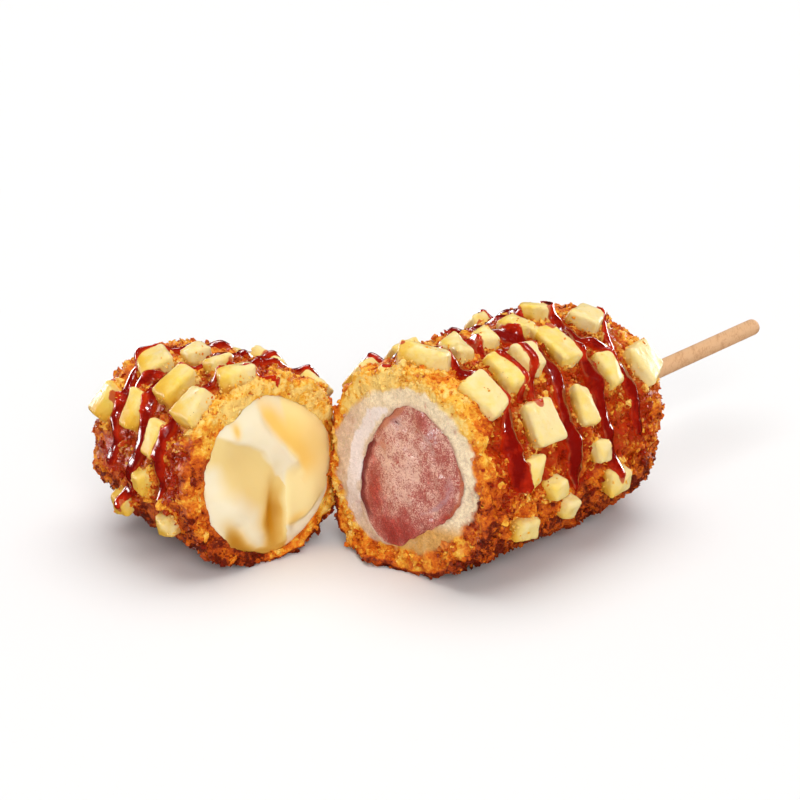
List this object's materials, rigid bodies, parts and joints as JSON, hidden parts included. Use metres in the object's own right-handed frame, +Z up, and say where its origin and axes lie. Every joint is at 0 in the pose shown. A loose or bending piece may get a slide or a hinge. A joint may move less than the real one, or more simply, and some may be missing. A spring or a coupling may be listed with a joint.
{
  "type": "corn dog",
  "caption": "Corn dog on a wooden stick, cut across and laid open: sausage inside the stick end, melted cheese inside the tip, with potato cubes and ketchup on a fried crumb crust.",
  "frame": {"origin": "middle of the bounding box, on the surface that the food lies on", "axes": "+X to the stick's side, along the longest extent, +Y into the closed side of the V, +Z up"},
  "size_m": [0.1814, 0.1254, 0.0585],
  "materials": {
    "crust": "golden to orange-brown fried crumb over pale soft dough, rough and craggy",
    "sausage": "moist pink sausage with a fine mottled grain, redder towards its skin",
    "cheese": "smooth melted cheese, ivory to warm yellow with amber folds",
    "potato": "pale yellow fried potato with golden edges and fine dark specks",
    "sauce": "deep red ketchup, wet and glossy",
    "wood": "plain light birch dowel with fine grain along it"
  },
  "bodies": {
    "root": {"coating_sausage_half": "crust", "coating_cheese_half": "crust", "sausage": "sausage", "cheese": "cheese", "stick": "wood", "potato_01": "potato", "potato_02": "potato", "potato_03": "potato", "potato_04": "potato", "potato_05": "potato", "potato_06": "potato", "potato_07": "potato", "potato_08": "potato", "potato_09": "potato", "potato_10": "potato", "potato_11": "potato", "potato_12": "potato", "potato_13": "potato", "potato_14": "potato", "potato_15": "potato", "potato_16": "potato", "potato_17": "potato", "potato_18": "potato", "potato_19": "potato", "potato_20": "potato", "potato_21": "potato", "potato_22": "potato", "potato_23": "potato", "potato_24": "potato", "potato_25": "potato", "potato_26": "potato", "potato_27": "potato", "potato_28": "potato", "potato_29": "potato", "potato_30": "potato", "potato_31": "potato", "potato_32": "potato", "potato_33": "potato", "potato_34": "potato", "potato_35": "potato", "potato_36": "potato", "potato_37": "potato", "potato_38": "potato", "potato_39": "potato", "potato_40": "potato", "potato_41": "potato", "potato_42": "potato", "potato_43": "potato", "potato_44": "potato", "potato_45": "potato", "potato_46": "potato", "potato_47": "potato", "potato_48": "potato", "potato_49": "potato", "potato_50": "potato", "potato_51": "potato", "potato_52": "potato", "potato_53": "potato", "potato_54": "potato"}
  },
  "joints": []
}
